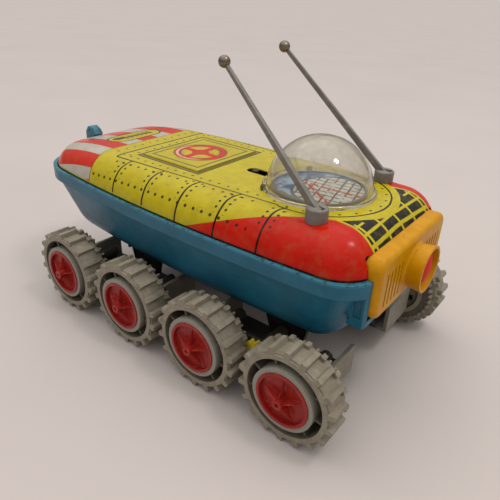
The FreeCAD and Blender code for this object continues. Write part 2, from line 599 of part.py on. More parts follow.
def motor_plate(name):
    y0, y1 = PLATE_Y[name]
    shape = box(PLATE_X, (y0, y1), PLATE_Z)
    edges = [e for e in shape.Edges if abs(e.tangentAt(e.FirstParameter).y) > 0.99]
    shape = shape.makeFillet(3.0, edges)
    inward = (y0 - 5, y1) if y0 > 0 else (y0, y1 + 5)
    leg_x = (PLATE_X[0] + 10, PLATE_X[1] - 14)
    shape = shape.fuse(box(leg_x, (y0, y1), (PLATE_FOOT_Z, PLATE_Z[0] + 1)))
    shape = shape.fuse(box(leg_x, inward, (PLATE_FOOT_Z, PLATE_FOOT_Z + 1.0)))
    well = box((SHAFT_X - 13.5, SHAFT_X + 13.5), (-8.5, 8.5), (PLATE_FOOT_Z - 1, PLATE_FOOT_Z + 2))
    shape = shape.cut(well)
    for x, z in PILLARS:
        shape = shape.cut(rod(x, z, 1.2, y0 - 1, y1 + 1))
    arbors = [(GREAT_X, GREAT_Z, 2.0), (SECOND_X, SECOND_Z, 1.2), (GOVERNOR_X, GOVERNOR_Z, 0.8)]
    for x, z, r in arbors:
        shape = shape.cut(rod(x, z, r + RUNNING, y0 - 1, y1 + 1))
    return shape


def motor_pillars():
    inner = (PLATE_Y["right"][1], PLATE_Y["left"][0])
    solids = []
    for x, z in PILLARS:
        pillar = rod(x, z, 2.2, *inner)
        solids.append(pillar.fuse(rod(x, z, 1.2, inner[0] - 1.5, inner[1] + 1.5)))
    return Part.makeCompound(solids)


def great_wheel():
    """Driven by the mainspring; it runs free on the winding arbor."""
    gap_to_second = GREAT_ANGLE + 180.0 + 180.0 / GREAT_TEETH
    plate = gear(GREAT_X, GREAT_Z, GREAT_TEETH, 3.5, 5.3, 2.0 + RUNNING, gap_to_second)
    for i in range(5):
        a = math.radians(72 * i)
        plate = plate.cut(rod(GREAT_X + 10.5 * math.cos(a), GREAT_Z + 10.5 * math.sin(a), 3.0, 3, 6))
    hub = rod(GREAT_X, GREAT_Z, 3.6, 2.0, 3.5).cut(rod(GREAT_X, GREAT_Z, 2.0 + RUNNING, 1, 6))
    return plate.fuse(hub)


def mainspring():
    """Open spiral between the great wheel and the left plate."""
    turns = 5.5
    steps = int(turns * 16)
    strip = 0.5

    def radius(i):
        return 4.6 + (13.2 - 4.6) * i / steps

    def ring(offset):
        points = []
        for i in range(steps + 1):
            a = 2 * math.pi * turns * i / steps
            r = radius(i) + offset
            points.append((GREAT_X + r * math.cos(a), GREAT_Z + r * math.sin(a)))
        return points

    outline = ring(strip / 2) + list(reversed(ring(-strip / 2)))
    return prism_y(outline, 6.4, 12.4)


def winding_key():
    """Arbor and butterfly key in one riveted piece, on the left of the hull."""
    arbor = rod(GREAT_X, GREAT_Z, 2.0, -11.0, 53.0)
    sleeve = rod(GREAT_X, GREAT_Z, 3.4, 50.5, 57.0)
    wings = box((GREAT_X - 4, GREAT_X + 4), (55.5, 63.5), (GREAT_Z - 0.8, GREAT_Z + 0.8))
    for side in (1, -1):
        wing_y = HUB_TIP_Y - KEY_WING_R
        wing = Part.makeCylinder(KEY_WING_R, 1.6, V(GREAT_X + side * 5.4, wing_y, GREAT_Z - 0.8))
        eye = Part.makeCylinder(2.2, 4, V(GREAT_X + side * 5.8, wing_y, GREAT_Z - 2))
        wings = wings.fuse(wing).cut(eye)
    return arbor.fuse(sleeve).fuse(wings)


def second_wheel():
    """Second arbor: a pinion that the great wheel drives and a wheel that drives the shaft."""
    wheel_plate = gear(SECOND_X, SECOND_Z, SECOND_TEETH, -1.5, 1.5, 1.2, -90.0 + 180.0 / SECOND_TEETH)
    leaf = gear(SECOND_X, SECOND_Z, PINION_TEETH, 1.5, 6.4, 1.2, GREAT_ANGLE)
    arbor = rod(SECOND_X, SECOND_Z, 1.2, -11.0, 15.0)
    return wheel_plate.fuse(leaf).fuse(arbor)


def shaft_gear():
    return gear(SHAFT_X, AXLE_Z, SHAFT_TEETH, -1.4, 1.4, PIVOT_R, 90.0)


def governor():
    """Fast pinion with a fly disc that limits the speed."""
    leaf = gear(GOVERNOR_X, GOVERNOR_Z, GOVERNOR_TEETH, -1.7, 1.7, 0.8, GOVERNOR_ANGLE + 180.0)
    arbor = rod(GOVERNOR_X, GOVERNOR_Z, 0.8, -11.0, 15.0)
    fly = rod(GOVERNOR_X, GOVERNOR_Z, 7.5, -7.6, -5.6)
    for side in (1, -1):
        fly = fly.cut(rod(GOVERNOR_X + side * 4.6, GOVERNOR_Z, 1.4, -8, -5))
    sleeve = rod(GOVERNOR_X, GOVERNOR_Z, 1.6, -5.6, -1.7)
    return leaf.fuse(arbor).fuse(fly).fuse(sleeve)


LEVER_Y = (-9.0, -7.9)
LEVER_X = 21.7
LEVER_Z = (PLATE_Z[1] - 1.0, PLATE_Z[1] + 1.6)


def stop_lever():
    """Flat strip beside the right plate; its tip stands in the deck slot."""
    finger_x = GOVERNOR_X - 7.5 - 4.2
    bar = box((LEVER_X - 1.5, finger_x), LEVER_Y, LEVER_Z)
    finger = box((finger_x - 1.6, finger_x), (LEVER_Y[0], LEVER_Y[1] + 1.5), (GOVERNOR_Z - 2, LEVER_Z[1]))
    riser = box((LEVER_X - 1.5, LEVER_X + 1.5), (LEVER_Y[0], 1.0), (LEVER_Z[1] - 1.0, LEVER_Z[1]))
    tip = box((LEVER_X - 1.5, LEVER_X + 1.5), (-2.6, 0.2), (LEVER_Z[1] - 1.0, DECK_Z + 0.2))
    return bar.fuse(finger).fuse(riser).fuse(tip)


# ---- build --------------------------------------------------------------------------------
save("hull_tub", hull_tub())
save("tin_top", tin_top())
save("dial_disc", dial_disc())
save("dome", dome())
save("nose_panel", nose_panel())
save("nose_lens", nose_lens())
save("tail_hook", tail_hook())
save("bracket_screws", bracket_screws())

for side_name, side in SIDES.items():
    save("antenna_boss_%s" % side_name, antenna_boss(side))
    save("antenna_%s" % side_name, antenna(side))
    save("antenna_ball_%s" % side_name, antenna_ball(side))

for end in BOGIE_X:
    save("bracket_%s" % end, bracket(end))
    save("cross_shaft_%s" % end, cross_shaft(end))
    for side_name, side in SIDES.items():
        save("bogie_%s_%s" % (end, side_name), bogie_frame(end, side))
        save("stub_axles_%s_%s" % (end, side_name), stub_axles(end, side))
        save("pinion_%s_%s" % (end, side_name), pinion(end, side))

AXLE_X = [MID_X + WHEEL_PITCH * k for k in (1.5, 0.5, -0.5, -1.5)]
for number, axle_x in enumerate(AXLE_X, 1):
    for side_name, side in SIDES.items():
        save("wheel_%s_%d" % (side_name, number), wheel(axle_x, side))
        save("hub_cap_%s_%d" % (side_name, number), hub_cap(axle_x, side))

for plate_name in PLATE_Y:
    save("motor_plate_%s" % plate_name, motor_plate(plate_name))
save("motor_pillars", motor_pillars())
save("great_wheel", great_wheel())
save("mainspring", mainspring())
save("winding_key", winding_key())
save("second_wheel", second_wheel())
save("shaft_gear", shaft_gear())
save("governor", governor())
save("stop_lever", stop_lever())

whole = Part.makeCompound(list(NODES.values())).BoundBox
print("nodes", len(NODES), "box", [round(v, 2) for v in (whole.XMin, whole.XMax, whole.YMin,
                                                       whole.YMax, whole.ZMin, whole.ZMax)])
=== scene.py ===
"""Looks of the tin rover: lithographed tin, moulded plastics, clear dome, steel, floor, light, camera."""
import math

import bmesh
import bpy
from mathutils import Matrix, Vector


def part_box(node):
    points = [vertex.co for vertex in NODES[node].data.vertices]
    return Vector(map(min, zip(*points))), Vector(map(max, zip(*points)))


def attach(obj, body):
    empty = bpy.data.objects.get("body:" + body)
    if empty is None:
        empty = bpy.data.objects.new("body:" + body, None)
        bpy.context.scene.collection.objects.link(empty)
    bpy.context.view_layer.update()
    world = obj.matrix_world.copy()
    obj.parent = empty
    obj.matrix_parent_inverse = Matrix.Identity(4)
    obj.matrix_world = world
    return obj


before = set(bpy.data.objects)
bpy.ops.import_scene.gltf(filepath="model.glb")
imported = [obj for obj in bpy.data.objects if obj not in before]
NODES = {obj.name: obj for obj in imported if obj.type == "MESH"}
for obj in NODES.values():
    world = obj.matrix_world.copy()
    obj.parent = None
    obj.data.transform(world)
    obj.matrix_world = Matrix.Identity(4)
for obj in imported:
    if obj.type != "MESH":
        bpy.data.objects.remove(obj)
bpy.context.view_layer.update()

MM = 0.001
EDGE_SAMPLES = 6                # rays that the soft edges are made with


def centre_of(node):
    low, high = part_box(node)
    return (low + high) / 2 / MM


def size_of(node):
    low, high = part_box(node)
    return (high - low) / MM


# ---- node arithmetic ----------------------------------------------------------------------
class Field:
    """A number worked out at each point of a surface. Arithmetic on it adds Math nodes; & is the
    smaller, | the larger and ~ one minus the value, so they join masks of 0 to 1."""

    def __init__(self, tree, socket):
        self.tree, self.socket = tree, socket

    def math(self, operation, *others, clamp=False):
        node = self.tree.nodes.new("ShaderNodeMath")
        node.operation, node.use_clamp = operation, clamp
        for entry, value in zip(node.inputs, (self,) + others):
            if isinstance(value, Field):
                self.tree.links.new(value.socket, entry)
            else:
                entry.default_value = value
        return Field(self.tree, node.outputs[0])

    def __add__(self, other):
        return self.math("ADD", other)

    def __sub__(self, other):
        return self.math("SUBTRACT", other)

    def __mul__(self, other):
        return self.math("MULTIPLY", other)

    def __truediv__(self, other):
        return self.math("DIVIDE", other)

    def __neg__(self):
        return self * -1.0

    def __rsub__(self, other):
        return self * -1.0 + other

    def __abs__(self):
        return self.math("ABSOLUTE")

    def __and__(self, other):
        return self.math("MINIMUM", other)

    def __or__(self, other):
        return self.math("MAXIMUM", other)

    def __invert__(self):
        return self * -1.0 + 1.0

    __radd__, __rmul__ = __add__, __mul__

    def square(self):
        return self * self

    def root(self):
        return self.math("SQRT")

    def above(self, edge, soft=0.12):
        """1 where the value is over the edge, 0 under it."""
        return ((self - edge) / soft).math("ADD", 0.5, clamp=True)

    def below(self, edge, soft=0.12):
        """1 where the value is under the edge, 0 over it."""
        return ((edge - self) / soft).math("ADD", 0.5, clamp=True)

    def between(self, low, high, soft=0.12):
        return self.above(low, soft) & self.below(high, soft)

    def near(self, middle, width, soft=0.12):
        """A line of that width where the value equals the middle."""
        return abs(self - middle).below(width / 2, soft)

    def off_grid(self, start, pitch):
        """Distance to the nearest of start, start + pitch, start + 2 pitch and so on."""
        return (self - start).math("PINGPONG", pitch / 2)


def spot(u, v, radius, soft=0.2):
    """A round dot where both distances are nought."""
    return (u.square() + v.square()).root().below(radius, soft)


def linear(rgb):
    """An sRGB colour of 0 to 255 as the linear colour that nodes take."""
    parts = [c / 255 for c in rgb]
    return tuple(c / 12.92 if c <= 0.04045 else ((c + 0.055) / 1.055) ** 2.4 for c in parts) + (1.0,)


class Paint:
    """A material in the making: one Principled shader, with x, y and z in millimetres as Fields."""

    def __init__(self, name, rgb, roughness=0.4, **settings):
        self.material = bpy.data.materials.new(name)
        self.material.use_nodes = True
        self.tree = self.material.node_tree
        self.shader = self.tree.nodes["Principled BSDF"]
        self.place = self.tree.nodes.new("ShaderNodeTexCoord").outputs["Object"]
        split = self.tree.nodes.new("ShaderNodeSeparateXYZ")
        self.tree.links.new(self.place, split.inputs[0])
        self.x, self.y, self.z = (Field(self.tree, out) * (1 / MM) for out in split.outputs)
        self.colour = linear(rgb)
        self.bumps = None
        self.set("Roughness", roughness)
        for key, value in settings.items():
            self.set(key.replace("_", " "), value)

    def set(self, entry, value):
        if isinstance(value, Field):
            self.tree.links.new(value.socket, self.shader.inputs[entry])
        else:
            self.shader.inputs[entry].default_value = value

    def stretched(self, stretch):
        """The place on the surface, scaled along x, y and z."""
        node = self.tree.nodes.new("ShaderNodeMapping")
        node.inputs["Scale"].default_value = stretch
        self.tree.links.new(self.place, node.inputs["Vector"])
        return node.outputs[0]

    def noise(self, size, detail=3.0, stretch=None, roughness=0.55, shift=0.0):
        """Cloudy noise of 0 to 1 whose clouds are about `size` millimetres across."""
        node = self.tree.nodes.new("ShaderNodeTexNoise")
        node.noise_dimensions = "4D"
        node.inputs["W"].default_value = shift
        node.inputs["Scale"].default_value = 1 / (size * MM)
        node.inputs["Detail"].default_value = detail
        node.inputs["Roughness"].default_value = roughness
        self.tree.links.new(self.stretched(stretch) if stretch else self.place, node.inputs["Vector"])
        return Field(self.tree, node.outputs["Fac"])

    def over(self, colour, mask, strength=1.0):
        """Lays a colour, sRGB or a socket, over what is there where the mask is 1."""
        node = self.tree.nodes.new("ShaderNodeMix")
        node.data_type = "RGBA"
        node.clamp_factor = True
        amount = mask if strength == 1.0 else mask * strength
        self.tree.links.new(amount.socket, node.inputs["Factor"])
        colour = linear(colour) if len(colour) == 3 else colour
        for entry, value in ((node.inputs[6], self.colour), (node.inputs[7], colour)):
            if isinstance(value, tuple):
                entry.default_value = value
            else:
                self.tree.links.new(value, entry)
        self.colour = node.outputs[2]
        return self

    def bump(self, field, height, strength=1.0):
        """Adds relief: `height` in millimetres for a field that goes from 0 to 1."""
        node = self.tree.nodes.new("ShaderNodeBump")
        node.inputs["Distance"].default_value = height * MM
        node.inputs["Strength"].default_value = strength
        self.tree.links.new(field.socket, node.inputs["Height"])
        if self.bumps:
            self.tree.links.new(self.bumps, node.inputs["Normal"])
        self.bumps = node.outputs[0]
        return self

    def round_edges(self, radius):
        """Makes sharp edges catch the light as if rounded to that many millimetres."""
        node = self.tree.nodes.new("ShaderNodeBevel")
        node.samples = EDGE_SAMPLES
        node.inputs["Radius"].default_value = radius * MM
        self.bumps = node.outputs[0]
        return self

    def done(self):
        """Links the colour and relief to the shader and gives the material."""
        if isinstance(self.colour, tuple):
            self.shader.inputs["Base Color"].default_value = self.colour
        else:
            self.tree.links.new(self.colour, self.shader.inputs["Base Color"])
        if self.bumps:
            self.tree.links.new(self.bumps, self.shader.inputs["Normal"])
        return self.material


# ---- lithographed tin ---------------------------------------------------------------------
YELLOW, YELLOW_SHADE, YELLOW_LIGHT = (182, 166, 20), (164, 146, 14), (196, 186, 34)
FLANK_RED, FLANK_RED_SHADE = (192, 22, 1), (152, 18, 4)
STRIPE_RED = (188, 32, 8)
CREAM, CREAM_SHADE = (176, 170, 158), (150, 143, 130)
INK, THIN_INK = (14, 12, 8), (96, 84, 34)
PRINT_BLACK = (26, 22, 14)
HAND_WHEEL_RED, HAND_WHEEL_SHADE = (188, 36, 10), (120, 26, 12)
HAND_WHEEL_LIGHT, HAND_WHEEL_HALO = (214, 190, 170), (150, 140, 60)
SCRATCH, CHIP, GRIME = (120, 92, 30), (70, 60, 34), (120, 108, 60)

AXLE_X, AXLE_Z = centre_of("wheel_left_1").x, centre_of("wheel_left_1").z
WHEEL_PITCH = AXLE_X - centre_of("wheel_left_2").x
WHEEL_FACE_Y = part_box("wheel_left_1")[1].y / MM
RING_OUTER_R, DRUM_INNER_R = 14.2, 17.6         # the open ring of a wheel lies between them
RING_WIDTH = 2.2                                # grey ring round the hub cap
ROVER_MIDDLE_X = (centre_of("bogie_front_left").x + centre_of("bogie_rear_left").x) / 2
PITCH_X = centre_of("bogie_front_left").x - ROVER_MIDDLE_X
BEAM = size_of("hull_tub").y / 2                # half width of the hull's rim
TIN_INSET = BEAM - size_of("tin_top").y / 2     # the tin stands this far inside the rim
SIDE_ARC_R, SIDE_ARC_X = 860.0, 21.0            # arc of the long sides, seen from above
DECK_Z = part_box("dial_disc")[0].z / MM          # top of the tin
RIM_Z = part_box("hull_tub")[1].z / MM            # top of the hull's rim
SHOULDER_R = 15.4                               # where the deck turns down into the sides
FALL_X, FALL_R = -52.0, 185.0                   # aft of here the deck falls on an arc
DOME_X = centre_of("dome").x
STRIPE_X = -54.0                                # the stripes are aft of this line
FRAME_REAR_X = -43.0                            # rear line of the frame drawn on the deck
PANEL_START, PANEL_PITCH = -33.0, 22.4          # lines over the shoulder
HATCH_X, HATCH_Y = (-34.8, 4.2), 22.6           # lines round the embossed hatch
HAND_WHEEL_X = -15.5                            # printed hand-wheel on the hatch
RING_X = DOME_X + 2.5                           # centre of the lines printed round the dome
RING_R, BAND_R = 29.3, 33.0                     # line and yellow band round the dome
RIVET_RING_R = 27.2                             # dots just inside that line
TAG_X = -68.0                                   # yellow tag across the stern's stripes
TAG_R, TAG_REACH = 7.8, 9.5                     # its round ends, and how far out their centres lie
FRAME_Y = 32.3                                  # side line of the frame at its rear corner
FRAME_TAPER, FRAME_CURVE = 0.016, 0.00028       # how that line draws in going forward
FLANK_X, FLANK_GIRTH = 9.0, 57.9                # rear end of the red flank's upper line
FLANK_SLOPE, FLANK_CURVE = 0.385, 0.0011
NOSE_LINE_X, NOSE_LINE_GIRTH, NOSE_LINE_SLOPE = 84.0, 26.0, 0.15    # the same line at the nose
GRID_X, GRID_HALF, GRID_PITCH = 86.5, 31.0, 12.0                    # yellow grid on the black nose
GRID_LINE = 1.1                                 # width of the grid's lines across the nose
STRIPE_EDGES = (5.5, 15.7, 26.4, 34.0, 43.0, 49.1)                  # red and cream change here, in girth
BARE_EDGE, GAP_SHADOW = 1.6, 0.85               # bare strip above the hull's rim, and painted shadow of the gap under it


class TinPrint(Paint):
    """The tin top's paint. u and v are x and y with the print's wobble, side is the distance from
    the middle line, and girth is the same distance measured over the rounded shoulder."""

    def __init__(self):
        super().__init__("tin_litho", YELLOW, 0.3, Specular_IOR_Level=0.14, Coat_Weight=0.03,
                         Coat_Roughness=0.06)
        wobble = (self.noise(9.0, 2.0) - 0.5) * 0.5
        self.u, self.v = self.x + wobble, self.y + wobble
        self.side = abs(self.v)
        half = BEAM - TIN_INSET - (self.x - SIDE_ARC_X).square() / (2 * SIDE_ARC_R)
        flat = half - SHOULDER_R
        aft = (self.x - FALL_X) & 0.0
        drop = FALL_R - (FALL_R ** 2 - aft.square()).root()
        rise = (self.z + drop - (DECK_Z - SHOULDER_R)) | 0.001
        angle = ((self.side - flat) | 0.0).math("ARCTAN2", rise)
        self.girth = (self.side & flat) + angle * SHOULDER_R
        ahead = self.x - FRAME_REAR_X
        self.frame_line = FRAME_Y - ahead * FRAME_TAPER - (ahead | 0.0).square() * FRAME_CURVE
        self.ring = ((self.u - RING_X).square() + self.v.square()).root()
        along = self.u - FLANK_X
        long_line = FLANK_GIRTH - along * FLANK_SLOPE - along.square() * FLANK_CURVE
        self.flank_line = long_line | (NOSE_LINE_GIRTH + (self.u - NOSE_LINE_X) * NOSE_LINE_SLOPE)
        self.nose_area = (self.ring.above(BAND_R) & self.girth.below(self.flank_line - 1.3)
                          & self.u.above(DOME_X + 10.0))
        bend = (1.0 - (self.girth - self.frame_line) / 9.0) | 0.0
        self.panel = (self.u - bend.square() * 2.2).off_grid(PANEL_START, PANEL_PITCH)
        self.in_panels = self.x.between(PANEL_START - 4, PANEL_START + 4 * PANEL_PITCH + 4)

    def ground(self):
        """Yellow, worn and slightly mottled."""
        self.over(YELLOW_SHADE, self.noise(16.0, 4.0).above(0.5, 0.5), 0.7)
        self.over(YELLOW_LIGHT, self.noise(6.0, 3.0, shift=3.0).above(0.56, 0.3), 0.35)

    def nose_and_flank(self):
        """The black nose with its yellow grid, and the red flank below."""
        u, side = self.u, self.side
        self.over(PRINT_BLACK, self.nose_area)
        along = side.off_grid(0.0, GRID_PITCH).below(0.72, 0.25) & u.above(GRID_X) & side.below(GRID_HALF)
        across = (u - side * 0.03).near(91.6, GRID_LINE, 0.25) | (u - side * 0.03).near(95.6, GRID_LINE, 0.25)
        across = across | ((u - side * 0.02).near(87.6, 1.0, 0.25) & side.above(19.0))
        self.over(YELLOW, (along | across) & self.nose_area)
        flank = self.girth.above(self.flank_line, 0.25) & u.above(7.0)
        self.over(FLANK_RED, flank)
        self.over(FLANK_RED_SHADE, self.noise(14.0, 4.0, shift=1.0).above(0.5, 0.4) & flank, 0.5)

    def deck_lines(self):
        """Panel lines over the shoulder, the frame on the deck and the ring round the dome."""
        forward = self.x.above(RING_X - 4.5, 0.3)
        shoulder = self.girth.above(self.frame_line, 0.2)
        lines = self.panel.below(0.5, 0.2) & shoulder & self.in_panels
        frame_side = (self.side - self.frame_line).near(0.0, 0.75, 0.25)
        lines = lines | (frame_side & ~forward & self.u.above(FRAME_REAR_X))
        lines = lines | (self.ring.near(RING_R, 0.8, 0.25) & forward)
        deck = self.side.below(self.frame_line, 0.3)
        lines = lines | (self.u.near(FRAME_REAR_X, 1.0, 0.25) & deck)
        self.over(INK, lines)

    def hatch_frame(self):
        """Double line round the embossed hatch."""
        fore_and_aft = abs(self.u - (HATCH_X[0] + HATCH_X[1]) / 2) - (HATCH_X[1] - HATCH_X[0]) / 2
        hatch = fore_and_aft | (self.side - HATCH_Y)
        self.over(THIN_INK, hatch.between(-0.2, 1.6, 0.4), 0.8)
        self.over(INK, hatch.near(1.6, 0.8, 0.3) | hatch.near(-0.4, 0.6, 0.3), 0.85)
        self.over(THIN_INK, hatch.near(-3.6, 0.9, 0.4), 0.75)
        self.over(INK, hatch.near(-4.1, 0.55, 0.3), 0.75)

    def rivets(self):
        """Rows of dots along the frame, in the panels, across the deck and round the dome."""
        u, v, side, girth = self.u, self.v, self.side, self.girth
        dots = spot(u.off_grid(-51.0, 4.8), girth - 45.6, 0.78) & self.x.between(-52.5, 50.0)
        column = spot(self.panel - 2.7, girth.off_grid(1.0, 3.1), 0.66)
        dots = dots | (column & girth.between(self.frame_line + 1.0, 44.0) & self.in_panels)
        for offset, start in ((-3.6, 0.0), (3.0, 2.4)):
            row = spot(u.off_grid(start, 5.2), side - self.frame_line - offset, 0.64)
            dots = dots | (row & self.x.between(-42.0, 46.0))
        for line_x in (-48.3, -38.8):
            dots = dots | (spot(u - line_x, v.off_grid(0.0, 5.4), 0.64) & side.below(28.0))
        turn = v.math("ARCTAN2", u - RING_X) * RIVET_RING_R
        circle = spot(self.ring - RIVET_RING_R, turn.off_grid(0.0, 7.3), 0.62)
        dots = dots | (circle & self.x.above(DOME_X - 12.0))
        self.over(INK, dots & (1.0 - self.nose_area) & u.above(STRIPE_X + 1.0), 0.92)

    def hand_wheel(self):
        """Printed hand-wheel with four spokes, on the hatch."""
        along, v, side = self.u - HAND_WHEEL_X, self.v, self.side
        r = (along.square() + v.square()).root()
        spokes = (abs(along).below(1.9, 0.2) | side.below(1.9, 0.2)) & r.below(11.0)
        wheel = r.between(10.2, 13.7, 0.2) | spokes | r.below(4.4, 0.2)
        self.over(HAND_WHEEL_HALO, r.between(9.2, 14.5, 0.5))
        self.over(HAND_WHEEL_RED, wheel)
        lit = (along * -0.6 - v * 0.8) / (r | 0.5)
        self.over(HAND_WHEEL_LIGHT, r.near(12.2, 1.1, 0.8) & lit.above(0.35, 0.5), 0.85)
        self.over(HAND_WHEEL_SHADE, r.near(13.5, 0.6, 0.4) | r.near(10.5, 0.6, 0.4), 0.75)
        self.over(HAND_WHEEL_SHADE, r.near(4.2, 0.5, 0.4), 0.5)

    def stern(self):
        """Red and cream stripes over the stern, and the tag with its plain marks."""
        u, v, side, girth = self.u, self.v, self.side, self.girth
        first, second, third, fourth, fifth, sixth = STRIPE_EDGES
        stern = u.below(STRIPE_X)
        self.over(CREAM, stern)
        red = girth.below(first, 0.25) | girth.between(second, third, 0.25)
        red = red | girth.between(fourth + (u + 70.0) * 0.04, fifth, 0.25)
        red = red | girth.above(sixth - (u - STRIPE_X) * 0.086, 0.25)
        self.over(STRIPE_RED, red & stern)
        self.over(CREAM_SHADE, self.noise(12.0, 4.0, shift=7.0).above(0.52, 0.3) & stern & ~red, 0.35)
        tag_r = ((u - TAG_X).square() + ((side - TAG_REACH) | 0.0).square()).root()
        self.over(YELLOW, tag_r.below(TAG_R) & stern)
        self.over(INK, tag_r.near(TAG_R - 0.2, 1.0, 0.3) & stern, 0.95)
        marks = v.off_grid(0.0, 3.4).below(1.1, 0.3) & abs(u - TAG_X - 0.4).below(3.0, 0.3)
        marks = marks & v.between(-9.0, 12.0)
        blob = spot((u - TAG_X + 1.0) * 0.7, (v + 10.4) * 0.5, 2.0)
        self.over(INK, (marks | blob) & stern, 0.9)
        self.over(INK, u.near(STRIPE_X, 0.55, 0.25) & self.noise(5.0, 2.0).above(0.42, 0.1), 0.7)

    def lower_edge(self):
        """Bare edge above the hull's rim, with the painted shadow of the gap under it."""
        self.over(YELLOW, self.z.below(RIM_Z + BARE_EDGE, 0.2) & self.x.below(10.0), 0.9)
        # painted shadow: an ink-black band where the tin meets the gap above the hull's rim
        self.over(INK, self.z.below(RIM_Z + GAP_SHADOW, 0.2), 0.95)

    def wear(self):
        """Scratches, chips and grime."""
        hair = self.noise(11.0, 6.0, stretch=(1.0, 0.6, 1.6), shift=11.0).near(0.5, 0.0045, 0.004)
        hair = hair & self.noise(17.0, 1.0, shift=4.0).above(0.56, 0.05)
        self.over(SCRATCH, hair, 0.7)
        chips = self.noise(1.7, 2.0, shift=5.0).above(0.73, 0.02)
        chips = chips & self.noise(20.0, 1.0, shift=8.0).above(0.47, 0.1)
        self.over(CHIP, chips, 0.8)
        self.over(GRIME, self.noise(4.0, 5.0, shift=9.0).above(0.6, 0.25), 0.22)
        self.set("Roughness", 0.12 + self.noise(5.0, 4.0, shift=2.0) * 0.18 + (hair | chips) * 0.25)
        self.bump(self.noise(24.0, 2.0, shift=6.0), 0.5, 0.35)
        self.bump(1.0 - (hair | chips), 0.03)


def tin_litho():
    p = TinPrint()
    p.ground()
    p.nose_and_flank()
    p.deck_lines()
    p.hatch_frame()
    p.rivets()
    p.hand_wheel()
    p.stern()
    p.lower_edge()
    p.wear()
    return p.done()


# cockpit print under the dome
CHART_AHEAD, CHART_HALF_LENGTH, CHART_HALF_WIDTH = 5.5, 14.6, 17.6
DIAL_R = 20.4                                   # outside it the disc is bare and dull


def dial_print():
    """Cloudy blue behind, white chart with a dark grid and two rows of red dashes in front."""
    p = Paint("dial_print", (44, 84, 136), 0.4, Specular_IOR_Level=0.3)
    u, v = p.x - DOME_X, p.y
    r = (u.square() + v.square()).root()
    cloud = p.noise(7.0, 4.0, stretch=(1.0, 0.7, 1.0))
    p.over((150, 178, 204), cloud.above(0.5, 0.12) & r.below(19.0, 3.0), 0.9)
    p.over((24, 40, 74), p.noise(3.0, 3.0, shift=2.0).above(0.58, 0.06), 0.8)
    chart_u, chart_v = (u - CHART_AHEAD) / CHART_HALF_LENGTH, (v + 0.5) / CHART_HALF_WIDTH
    chart_r = (chart_u.square() + chart_v.square()).root()
    chart = chart_r.below(1.0, 0.04)
    p.over((34, 52, 84), chart_r.below(1.09, 0.04), 0.9)
    p.over((190, 190, 188), chart)
    crescent = r.between(17.4, DIAL_R, 0.3) & (u * 0.4 - v).above(12.0, 1.0)
    p.over((108, 104, 96), crescent & ~chart, 0.8)
    grid = (u + v * 0.25).off_grid(1.0, 4.2).below(0.42, 0.2)
    grid = grid | (v - u * 0.12).off_grid(0.0, 4.0).below(0.4, 0.2)
    p.over((26, 24, 22), grid & chart & p.noise(4.0, 1.0).above(0.38, 0.05), 0.92)
    rows = (v - 1.0).near(0.0, 1.7, 0.25) | (v + 4.5 + u * 0.75).near(0.0, 2.0, 0.25)
    dashes = rows & (u + v * 0.3).off_grid(0.0, 5.6).above(0.7, 0.2)
    p.over((178, 40, 28), dashes & chart & u.above(-8.0))
    p.over((84, 80, 66), r.above(DIAL_R, 0.3))
    p.bump(p.noise(0.8, 2.0), 0.02)
    return p.done()


# ---- plastics -----------------------------------------------------------------------------
def moulded(name, rgb, dark, light, roughness=0.4, size=14.0, edge=0.0, grime=0.25, **settings):
    """Aged moulded plastic: slow colour drift, fine dark specks, light scuffs and a faint moulded grain."""
    p = Paint(name, rgb, roughness, **settings)
    if edge:
        p.round_edges(edge)
    p.over(dark, p.noise(size, 4.0).above(0.52, 0.35), 0.55)
    p.over(light, p.noise(size * 0.4, 4.0, shift=3.0).above(0.56, 0.25), 0.35)
    p.over(dark, p.noise(1.3, 3.0, shift=5.0).above(0.66, 0.05), grime)
    scuff = p.noise(2.2, 5.0, stretch=(0.35, 1.0, 1.0), shift=8.0).above(0.62, 0.05)
    p.over(light, scuff, 0.3)
    p.set("Roughness", roughness - 0.08 + p.noise(6.0, 4.0, shift=6.0) * 0.18 + scuff * 0.12)
    p.bump(p.noise(0.5, 2.0, shift=1.0), 0.02)
    p.bump(p.noise(9.0, 2.0, shift=2.0), 0.12, 0.5)
    return p


def hull_blue():
    p = moulded("hull_blue", (24, 92, 116), (16, 72, 92), (40, 112, 134), 0.34, 22.0, edge=0.5, grime=0.3,
                Specular_IOR_Level=0.34)
    # painted highlight: a lighter band along the top of the rim's lip
    p.over((60, 128, 146), p.z.above(RIM_Z - 0.9, 0.8), 0.55)
    worn = p.noise(2.0, 4.0, shift=12.0).above(0.56, 0.06) & p.z.above(RIM_Z - 0.6, 0.4)
    p.over((28, 52, 60), worn, 0.7)
    p.over((40, 40, 36), p.noise(0.9, 1.0, shift=14.0).above(0.76, 0.02), 0.6)
    return p.done()


def nose_yellow():
    p = moulded("nose_yellow", (192, 136, 0), (174, 110, 0), (210, 158, 8), 0.36, 12.0, edge=0.5, grime=0.35,
                Specular_IOR_Level=0.16)
    p.over((140, 84, 14), p.noise(1.6, 4.0, shift=9.0).above(0.64, 0.06), 0.4)
    return p.done()


